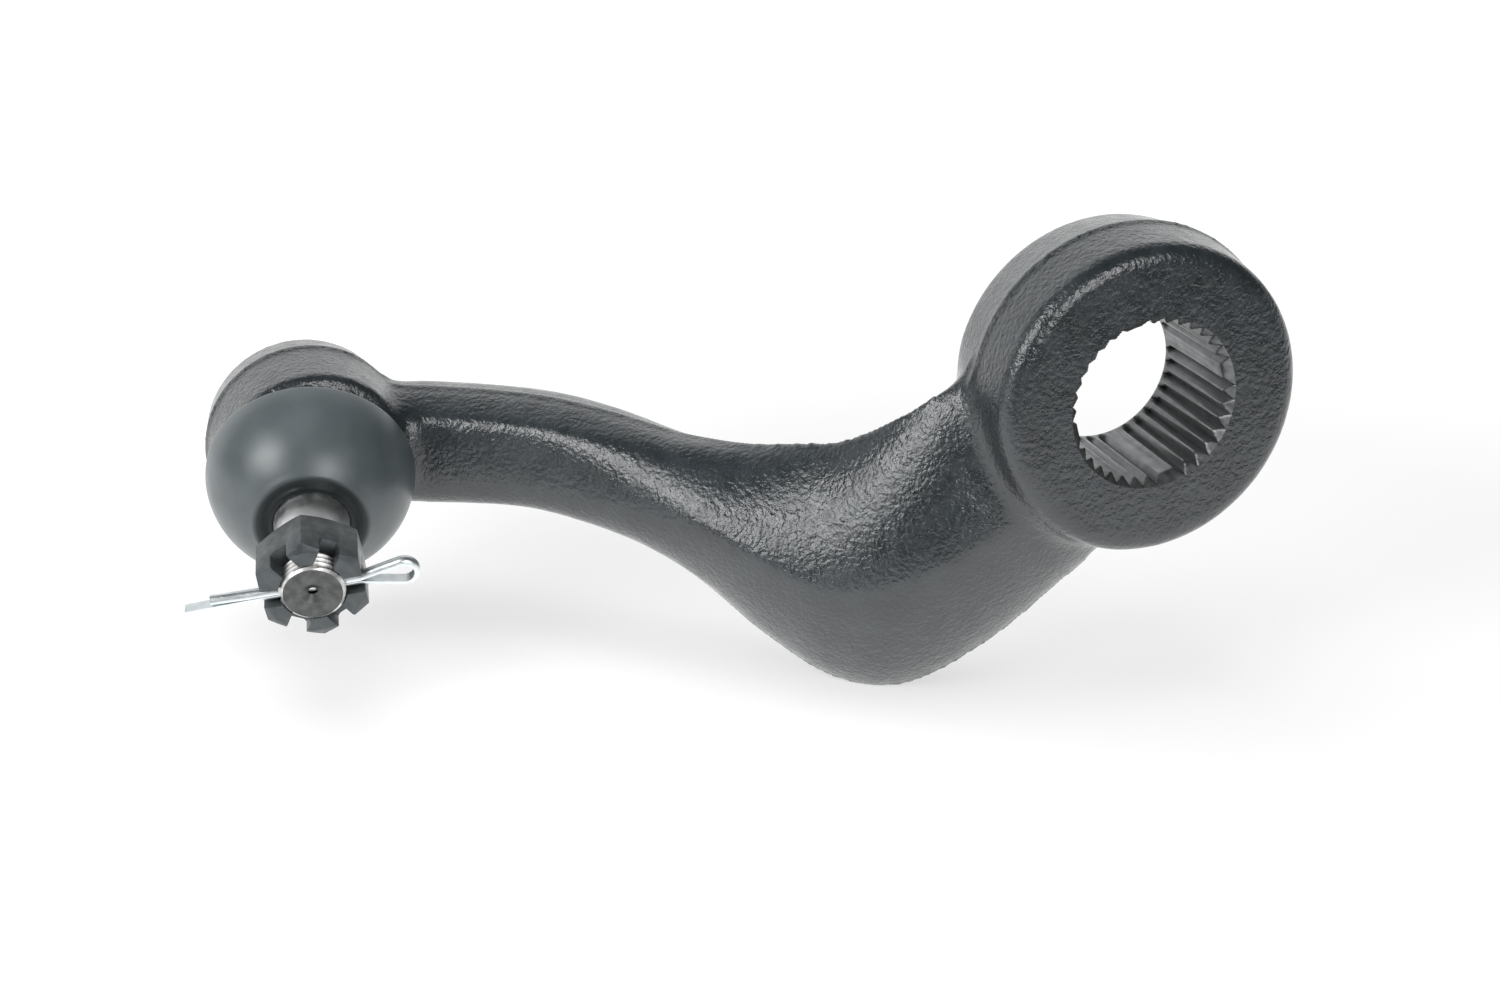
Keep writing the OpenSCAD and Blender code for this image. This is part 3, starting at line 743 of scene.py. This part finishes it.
lip = BOOT_WALL / 2
boot_rings = [dome_ring(BOOT_R - lip + lip * math.cos(a), lip_start + lip * (1 + math.sin(a)) / BOOT_R)
              for a in np.radians(np.linspace(-180, 0, 13))]
skirt, crown = lip_start + lip / BOOT_R, math.asin((COLLAR_END - COLLAR_EDGE - BOOT_Z) / BOOT_R)
boot_rings += [dome_ring(BOOT_R, skirt + (crown - skirt) * t) for t in np.linspace(SEAM, 1, 44)]
crown_r, dome_end = BOOT_R * math.cos(crown), len(boot_rings)
collar_outline = softened([
    (crown_r, COLLAR_END - COLLAR_EDGE), (crown_r - 1.0, COLLAR_END - 0.05, 0.9), (9.2, COLLAR_END - 0.1, 0.6),
    (8.3, COLLAR_END - 0.35, 0.5), (grip(COLLAR_END) + 0.3, COLLAR_END - 0.1, 0.2),
    (grip(COLLAR_END), COLLAR_END - 0.4, 0.2), (grip(COLLAR_END - COLLAR_H), COLLAR_END - COLLAR_H)], 6)
boot_rings += [flat_ring(r, z) for r, z in collar_outline[1:]]
inside = BOOT_R - BOOT_WALL
under = math.asin((COLLAR_END - COLLAR_H - BOOT_Z) / inside)
boot_rings += [dome_ring(inside, skirt + (under - skirt) * t) for t in np.linspace(1, SEAM, 24)]
boot_points = np.vstack([np.stack([r * np.cos(around), r * np.sin(around), z], 1) for r, z in boot_rings])
count = len(boot_rings)
boot_faces = [[i * BOOT_POINTS + j, k * BOOT_POINTS + j,
               k * BOOT_POINTS + (j + 1) % BOOT_POINTS, i * BOOT_POINTS + (j + 1) % BOOT_POINTS]
              for i, k in ((i, (i + 1) % count) for i in range(count)) for j in range(BOOT_POINTS)]
boot_place = socket_place @ turned(LEAN_DIR, "Z") @ turned(LEAN, "Y")
boot = mesh_object("dust_boot_skin", boot_points, boot_faces, boot_place)
face_outward(boot.data)
boot.data.materials.append(rubber)
# The collar's painted shade: 1 on the collar's face inside its edge, fading out toward the dome
on_collar = [i >= dome_end and z.mean() > COLLAR_END - SHADE_DEEP for i, (r, z) in enumerate(boot_rings)]
painted_shade_share = [float(on) * min(1.0, max(0.0, (crown_r - SHADE_BACK - r.mean()) / SHADE_FADE))
          for on, (r, z) in zip(on_collar, boot_rings)]
boot.data.attributes.new("painted_collar_shade", "FLOAT", "POINT").data.foreach_set("value", np.repeat(painted_shade_share, BOOT_POINTS))
smooth_shaded(boot, 50)
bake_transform(boot)
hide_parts("dust_boot")
print("boot:", len(boot.data.polygons), "faces")

# %% [markdown]
# ## The stud
# The stud is turned steel: a ball at the back, a taper that seats in the link, and a thread at the end.
# The body is a turned outline. The thread is a rule: the rows of a grid climb one pitch for each turn,
# and every eighth row is a crest, so the crests are true edges and not steps.

# %% Body of the stud
STUD_L, THREAD_R, THREAD_CHAMFER, PITCH, THREAD_DEPTH = 48.0, 6.35, 0.8, 1.27, 0.72
CORE_R, CORE_TOP = 5.3, 40  # the body ends inside the thread
TAPER_END = TAPER_START + TAPER_L
BALL_R, JOURNAL_R, HEAD_BACK, SPLIT = 11.1, 7.0, 9.0, 1.0
head_angle = math.degrees(math.asin(HEAD_BACK / BALL_R))
split_angle = math.degrees(math.asin(SPLIT / BALL_R))
stud_outline = ([(0, -HEAD_BACK)] + arc((0, 0), BALL_R, -head_angle, -split_angle, 14)
                + softened([(BALL_R - 0.06, -SPLIT), (JOURNAL_R, -SPLIT, 0.2), (JOURNAL_R, TAPER_START - 1, 0.6),
                            (TAPER_R, TAPER_START, 0.5), (TAPER_R - TAPER_RATE * TAPER_L, TAPER_END, 0.3),
                            (THREAD_R - THREAD_DEPTH - 0.1, TAPER_END + 0.6, 0.2), (CORE_R, CORE_TOP), (0, CORE_TOP)]))
stud = mesh_object("stud_body", *turned_shape(stud_outline, 128), stud_place)
stud.data.materials.append(steel)
smooth_shaded(stud, 35)

# %% The rolled thread
ROWS_A_TURN, THREAD_COLUMNS = 8, 97
PIN_HOLE_R, PIN_HOLE_HALF = 1.8, 9
VALLEY_SHADE_RATE, FACE_EDGE = 1.3, 1.2  # how soon a valley gets its full painted shade, and how far in the end face begins
thread_sizes = {
    "Crest radius": THREAD_R * MM, "Depth": THREAD_DEPTH * MM, "Pitch": PITCH * MM, "Start": (TAPER_END + 0.2) * MM,
    "End": STUD_L * MM, "Chamfer": THREAD_CHAMFER * MM, "Dimple radius": 2.2 * MM, "Dimple depth": 1.4 * MM,
}
tree, given, _ = new_tree("rolled thread", thread_sizes)
THREAD_ROWS = ROWS_A_TURN * (math.ceil((STUD_L - TAPER_END) / PITCH) + 1)
mesh, turn, row = bent_grid(tree, THREAD_COLUMNS, THREAD_ROWS + 5)
climb = row - 2
turns = climb / ROWS_A_TURN
height = (given["Start"] + (turns + turn - 1) * given["Pitch"]).most(given["Start"]).least(given["End"])
valley = (turns.left_of(1) * 2 - 1).size()
end_cone = given["Crest radius"] - given["Chamfer"] + given["End"] - height
wall = (given["Crest radius"] - given["Depth"] * valley).least(end_cone)
in_dimple = row.above(THREAD_ROWS + 2.5)
at_bottom = row.above(THREAD_ROWS + 3.5)
wall = wall * in_dimple.other_way() + given["Dimple radius"] * in_dimple * at_bottom.other_way()
wall = wall * row.above(0.5)
height = height - given["Dimple depth"] * at_bottom
set_round(tree, mesh, wall, turn * (2 * math.pi), height, thread_steel)
thread = grown("stud_thread", tree, thread_sizes, stud_place)
face_outward(thread.data)
hole_outline = [(0, -PIN_HOLE_HALF), (PIN_HOLE_R, -PIN_HOLE_HALF), (PIN_HOLE_R, PIN_HOLE_HALF), (0, PIN_HOLE_HALF)]
pin_hole = mesh_object("pin_hole", *turned_shape(hole_outline, 48), pin_place @ turned(90, "Y"))
pin_hole.data.materials.append(thread_steel)
thread = carved(thread, pin_hole, "stud_threaded_end")
smooth_shaded(thread, 28)
upright = placed(read_array(thread.data.vertices, "co", 3) / MM, stud_place.inverted())
from_axis = np.hypot(upright[:, 0], upright[:, 1])
# painted shade: the deeper into a valley, the darker; none on the chamfer and the end face
sunk = np.clip((THREAD_R - from_axis) / THREAD_DEPTH * VALLEY_SHADE_RATE, 0, 1)
sunk[upright[:, 2] > STUD_L - THREAD_CHAMFER - 0.05] = 0.0
thread.data.attributes.new("valley", "FLOAT", "POINT").data.foreach_set("value", sunk)
thread.data.materials.append(stud_end)
for face in thread.data.polygons:
    corners = list(face.vertices)
    if upright[corners, 2].max() > STUD_L - 0.01 and from_axis[corners].min() < THREAD_R - FACE_EDGE:
        face.material_index = len(thread.data.materials) - 1
for piece in (stud, thread):
    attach(piece, "stud")
    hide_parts("ball_stud")
print("thread:", len(thread.data.polygons), "faces")

# %% [markdown]
# ## The slotted nut
# A hexagon with chamfered corners, six slots for the split pin and a phosphate coat. Every edge of a machined nut is
# broken a little, which is what catches the light, so the shape is cut with Booleans and then gets a small bevel.

# %% The nut
NUT_AF, NUT_H, NUT_TOP, NUT_INSET, NUT_SLOPE, SLOT_W, SLOT_DEPTH = 19.05, 10.8, 47.5, 0.4, 30, 3.9, 4.0
SLOT_CORNER, NUT_GRIP, NUT_BREAK, BREAK_FROM = 0.5, 0.02, 0.18, 24
HOLE_LOW, HOLE_HIGH, CLEAR = 30, 50, 1  # the cutters stand out of the nut
nut_place = stud_place @ turned(PIN_TURN, "Z")
nut_low = NUT_TOP - NUT_H
corner_r = NUT_AF / 2 / math.cos(math.pi / 6)
nut_points, nut_faces = turned_shape([(0, nut_low), (corner_r, nut_low), (corner_r, NUT_TOP), (0, NUT_TOP)], 6)
nut = mesh_object("nut_hexagon", nut_points, nut_faces, nut_place @ turned(30, "Z"))
face_r, rise = NUT_AF / 2 - NUT_INSET, math.tan(math.radians(NUT_SLOPE))
chamfer_h = (corner_r - face_r + CLEAR) * rise
cone_r = face_r + chamfer_h / rise
cone_outline = [(0, nut_low), (face_r, nut_low), (cone_r, nut_low + chamfer_h),
                (cone_r, NUT_TOP - chamfer_h), (face_r, NUT_TOP), (0, NUT_TOP)]
cone = mesh_object("nut_chamfer", *turned_shape(cone_outline, 144), nut_place)
nut = carved(nut, cone, "nut_chamfered", "INTERSECT")
hole_r = THREAD_R - NUT_GRIP
hole_outline = [(0, HOLE_LOW), (hole_r, HOLE_LOW), (hole_r, HOLE_HIGH), (0, HOLE_HIGH)]
hole = mesh_object("nut_hole", *turned_shape(hole_outline, 96), nut_place)
nut = carved(nut, hole, "nut_holed")
w, low, top, far = SLOT_W / 2, NUT_TOP - SLOT_DEPTH, NUT_TOP + CLEAR, corner_r + CLEAR
slot_outline = [(w, top), (w, low + SLOT_CORNER), (w - SLOT_CORNER, low),
                (SLOT_CORNER - w, low), (-w, low + SLOT_CORNER), (-w, top)]
slot_points = [(x, y, z) for x in (-far, far) for y, z in slot_outline]
n = len(slot_outline)
slot_faces = [list(range(n)), list(range(2 * n - 1, n - 1, -1))]
slot_faces += [[j, n + j, n + (j + 1) % n, (j + 1) % n] for j in range(n)]
for i in range(3):
    slot = mesh_object("nut_slot", slot_points, slot_faces, nut_place @ turned(60 * i, "Z"))
    face_outward(slot.data)
    nut = carved(nut, slot, f"nut_slotted_{i}")
nut.name = "slotted_nut_body"
edit = bmesh.new()
edit.from_mesh(nut.data)
bmesh.ops.remove_doubles(edit, verts=edit.verts, dist=WELD * MM)
bmesh.ops.dissolve_limit(edit, angle_limit=math.radians(1), verts=edit.verts, edges=edit.edges)
edit.to_mesh(nut.data)
edit.free()
bevel = nut.modifiers.new("broken edges", "BEVEL")
bevel.width, bevel.segments = NUT_BREAK * MM, 2
bevel.limit_method, bevel.angle_limit = "ANGLE", math.radians(BREAK_FROM)
nut = baked(nut, "slotted_nut_body.dressed")
nut.data.materials.clear()
nut.data.materials.append(phosphate)
smooth_shaded(nut, 30)
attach(nut, "stud")
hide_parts("slotted_nut")
print("nut:", len(nut.data.polygons), "faces")

# %% [markdown]
# ## The split pin
# One half-round wire, folded so that its flat sides meet, with an open eye at the fold and one leg longer than the
# other. It is a profile that follows a path: the path is a chain of points, and Geometry Nodes sweeps the half circle
# along it.

# %% Path of the wire
WIRE_R, EYE_AT, EYE_IN, LEG_LONG, LEG_SHORT, SPLIT_GAP = 1.2, 17.2, 1.9, 24.0, 19.0, 0.06
EYE_STARTS, EYE_THINNER, THINS_BEFORE, THINS_OVER = 0.6, 0.25, 0.8, 3.5  # the wire is thinner round the eye
LOWER_BEND, LOWER_FROM, UPPER_BEND, UPPER_FROM, BEND_POWER = 0.012, 12, 0.02, 11, 1.3  # how the legs part
leave_at = NUT_AF / 2 - EYE_STARTS
flank = math.asin((EYE_IN - SPLIT_GAP) / (EYE_AT - leave_at))
eye = [(EYE_AT + EYE_IN * math.cos(a), EYE_IN * math.sin(a)) for a in
       np.radians(np.linspace(-90 - math.degrees(flank), 90 + math.degrees(flank), 40))]
lower = [(x, -SPLIT_GAP - LOWER_BEND * max(0, -x - LOWER_FROM) ** BEND_POWER)
         for x in np.linspace(-LEG_LONG, leave_at, 30)]
upper = [(x, SPLIT_GAP + UPPER_BEND * max(0, -x - UPPER_FROM) ** BEND_POWER)
         for x in np.linspace(leave_at, -LEG_SHORT, 26)]
path = lower + eye + upper
wire_path = bpy.data.meshes.new("wire_path")
wire_path.from_pydata([(x * MM, y * MM, 0) for x, y in path], [(i, i + 1) for i in range(len(path) - 1)], [])
slender = wire_path.attributes.new("slender", "FLOAT", "POINT")
slender.data.foreach_set("value", [
    1 - EYE_THINNER * min(1.0, max(0.0, (x - leave_at + THINS_BEFORE) / THINS_OVER)) for x, y in path])

# %% The half-round sweep
wire_sizes = {"Wire radius": WIRE_R * MM}
tree, given, entry = new_tree("half round wire", wire_sizes, geometry_in=True)
curve, normal, half_round, sweep, thin, share = new_nodes(
    tree, "GeometryNodeMeshToCurve", "GeometryNodeSetCurveNormal", "GeometryNodeCurveArc", "GeometryNodeCurveToMesh",
    "GeometryNodeSetCurveRadius", "GeometryNodeInputNamedAttribute")
share.inputs["Name"].default_value = "slender"
normal.mode = "Z_UP"
half_circle = {"Resolution": 20, "Start Angle": -math.pi / 2, "Sweep Angle": math.pi, "Connect Center": True}
for key, value in half_circle.items():
    half_round.inputs[key].default_value = value
sweep.inputs["Fill Caps"].default_value = True
joined(tree, (share.outputs["Attribute"], thin.inputs["Radius"]),
       (given["Wire radius"].socket, half_round.inputs["Radius"]),
       (entry.outputs["Geometry"], curve.inputs[0]), (curve.outputs[0], normal.inputs["Curve"]),
       (normal.outputs[0], thin.inputs["Curve"]), (thin.outputs[0], sweep.inputs["Curve"]),
       (half_round.outputs["Curve"], sweep.inputs["Profile Curve"]))
end_tree(tree, sweep.outputs[0], zinc)
pin = grown("cotter_wire", tree, wire_sizes, pin_place, wire_path)
face_outward(pin.data)
smooth_shaded(pin, 40)
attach(pin, "stud")
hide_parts("cotter_pin")
local = np.array([pin_place.inverted() @ (v.co / MM) for v in pin.data.vertices])
print("pin:", len(pin.data.polygons), "faces, box", local.min(0).round(2), local.max(0).round(2))

# %% [markdown]
# ## The cover plate and the pieces inside
# A pressed plate closes the back of the socket, held by the rolled lip of the housing. Its middle is dished to clear
# the spring. The half ball, the seat and the spring disc are only seen when the joint is taken apart,
# so their solids stay and get their own finish.

# %% The pressed cover
PLATE_R, DISH_BACK, DISH_FRONT = 14.6, 0.7, 0.25
cover_outline = softened([
    (0, COVER_BACK_Z + DISH_BACK), (8.2, COVER_BACK_Z + DISH_BACK, 0.8), (9.6, COVER_BACK_Z, 0.8),
    (PLATE_R, COVER_BACK_Z, 0.3), (PLATE_R, COVER_FRONT_Z, 0.3), (10.0, COVER_FRONT_Z, 0.8),
    (8.6, COVER_FRONT_Z + DISH_FRONT, 0.8), (0, COVER_FRONT_Z + DISH_FRONT)])
cover = mesh_object("pressed_cover", *turned_shape(cover_outline, 128), socket_place)
cover.data.materials.append(plate)
smooth_shaded(cover, 40)
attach(cover, "arm")
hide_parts("cover_plate")
for node, material in (("half_ball", bearing_metal), ("bearing_seat", seat_plastic), ("disc_spring", spring_steel)):
    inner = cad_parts[node]
    inner.data.materials.clear()
    inner.data.materials.append(material)
print("cover:", len(cover.data.polygons), "faces")

# %% [markdown]
# ## Floor, light and camera
# The lever lies on a white table inside a light tent: a wide roof gives the soft light from above, the bright floor
# fills in from below, and the back of the tent shows in the gloss of every surface that looks up and away.
# Two softboxes, at the left and at the front, make the two pale spots on the boot and the glitter on the arm.
# Behind the camera the room is dark. A dark card, laid on the table in front of the object and standing up behind
# the camera, is that room. It is hidden from the camera and shows in the gloss, as the dark band along the arm.
# The table glows more the farther it is from the object, so it burns out to white there and keeps the shadow here.

# %% Rays that see the background
def seen_directly(tree):
    """1 for a ray that comes from the camera, a mirror or a glass, and 0 for a ray that only carries light."""
    rays = tree.nodes.new("ShaderNodeLightPath")
    last = rays.outputs["Is Camera Ray"]
    for kind in ("Is Glossy Ray", "Is Transmission Ray"):
        either = tree.nodes.new("ShaderNodeMath")
        either.operation = "MAXIMUM"
        joined(tree, (last, either.inputs[0]), (rays.outputs[kind], either.inputs[1]))
        last = either.outputs[0]
    return last


# %% The white floor
FLOOR_HALF = 3000
FLOOR_COLOUR, PALE, GLOW_IN_GLOSS = (0.9, 0.9, 0.9), 0.36, 1.15
GLOW_NEAR, GLOW_FAR, GLOW_LOW, GLOW_HIGH = 0.16, 0.5, 0.58, 1.05  # distances from the object, and the glow there
floor_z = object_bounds()[0].z / MM
corners = [(x * FLOOR_HALF, y * FLOOR_HALF, floor_z) for x, y in ((-1, -1), (1, -1), (1, 1), (-1, 1))]
floor = mesh_object("floor", corners, [[0, 1, 2, 3]])
white, tree, shader = finish_tree("white_table", FLOOR_COLOUR, 0.9)
shader.inputs["Specular IOR Level"].default_value = 0.0
seen = seen_directly(tree)
pale, glow, both, pick, where, reach, shown = new_nodes(
    tree, "ShaderNodeBsdfDiffuse", "ShaderNodeEmission", "ShaderNodeAddShader", "ShaderNodeMixShader",
    "ShaderNodeTexCoord", "ShaderNodeVectorMath", "ShaderNodeMix")
pale.inputs["Color"].default_value = (PALE, PALE, PALE, 1)
reach.operation = "LENGTH"
shown.inputs["A"].default_value = GLOW_IN_GLOSS
camera_glow = ranged(tree, reach.outputs["Value"], GLOW_NEAR, GLOW_FAR, GLOW_LOW, GLOW_HIGH)
joined(tree, (where.outputs["Object"], reach.inputs[0]),
       (tree.nodes["Light Path"].outputs["Is Camera Ray"], shown.inputs["Factor"]),
       (camera_glow, shown.inputs["B"]), (shown.outputs["Result"], glow.inputs["Strength"]),
       (pale.outputs[0], both.inputs[0]), (glow.outputs[0], both.inputs[1]),
       (seen, pick.inputs["Fac"]), (shader.outputs[0], pick.inputs[1]), (both.outputs[0], pick.inputs[2]),
       (pick.outputs[0], tree.nodes["Material Output"].inputs["Surface"]))
floor.data.materials.append(white)

# %% The dark room
ROOM_NEAR, ROOM_FAR, ROOM_LEFT, ROOM_RIGHT, ROOM_TOP = -165, -900, -1100, 900, 330
card_z = floor_z + 1
room_points = [(ROOM_LEFT, ROOM_NEAR, card_z), (ROOM_RIGHT, ROOM_NEAR, card_z), (ROOM_RIGHT, ROOM_FAR, card_z),
               (ROOM_LEFT, ROOM_FAR, card_z), (ROOM_RIGHT, ROOM_FAR, ROOM_TOP), (ROOM_LEFT, ROOM_FAR, ROOM_TOP)]
card = mesh_object("dark_room", room_points, [[0, 1, 2, 3], [3, 2, 4, 5]])
card.data.materials.append(finish_tree("dark_room", (0.02, 0.02, 0.02), 1.0)[0])
card.visible_camera = False
card.visible_shadow = False
print("floor at", round(floor_z, 2), "mm")

# %% The tent
TENT_LIGHT = 0.15  # on every surface
BACK_FROM, BACK_TO, ROOM_GLOSS, BACK_GLOSS = 0.32, 0.75, 0.06, 1.6  # in the gloss, from the front to the back
world = bpy.data.worlds.new("light_tent")
bpy.context.scene.world = world
world.use_nodes = True
tree = world.node_tree
sky = tree.nodes["Background"]
sky.inputs["Color"].default_value = (1, 1, 1, 1)
where, apart, pick, brightest = new_nodes(
    tree, "ShaderNodeTexCoord", "ShaderNodeSeparateXYZ", "ShaderNodeMix", "ShaderNodeMath")
brightest.operation = "MAXIMUM"
pick.inputs["A"].default_value = TENT_LIGHT
seen = seen_directly(tree)
in_gloss = ranged(tree, apart.outputs["Y"], BACK_FROM, BACK_TO, ROOM_GLOSS, BACK_GLOSS)
joined(tree, (where.outputs["Generated"], apart.inputs["Vector"]), (seen, pick.inputs["Factor"]),
       (in_gloss, brightest.inputs[0]),
       (tree.nodes["Light Path"].outputs["Is Camera Ray"], brightest.inputs[1]),
       (brightest.outputs[0], pick.inputs["B"]), (pick.outputs["Result"], sky.inputs["Strength"]))

# %% The lamps
AIM = Vector((-0.1, 0.04, 0))


def softbox(name, at, width, depth, watts):
    """A rectangular lamp that faces the middle of the object."""
    lamp = bpy.data.lights.new(name, "AREA")
    lamp.shape, lamp.size, lamp.size_y, lamp.energy = "RECTANGLE", width, depth, watts
    made = added(name, lamp)
    made.location = at
    made.rotation_mode = "QUATERNION"
    made.rotation_quaternion = (AIM - Vector(at)).to_track_quat("-Z", "Y")
    return made


softbox("left_softbox", (-0.78, -0.26, 0.4), 0.46, 0.46, 5.6)
softbox("front_softbox", (0.02, -0.68, 0.26), 0.36, 0.36, 3.0)
roof = softbox("tent_roof", (-0.2, 0.02, 0.85), 0.9, 0.7, 7.0)
roof.visible_glossy = False
bpy.context.scene.view_settings.view_transform = "Standard"

# %% The camera
CAMERA_AT, CAMERA_LOOK = (-0.1993, -0.3857, 0.1481), (0.2867, 0.8828, -0.3722)
lens = bpy.data.cameras.new("photo_camera")
lens.sensor_width, lens.lens = 36.0, 57.6
lens.clip_start, lens.clip_end = 0.01, 20
camera = added("photo_camera", lens)
camera.location = CAMERA_AT
camera.rotation_mode = "QUATERNION"
camera.rotation_quaternion = Vector(CAMERA_LOOK).to_track_quat("-Z", "Y")
bpy.context.scene.camera = camera
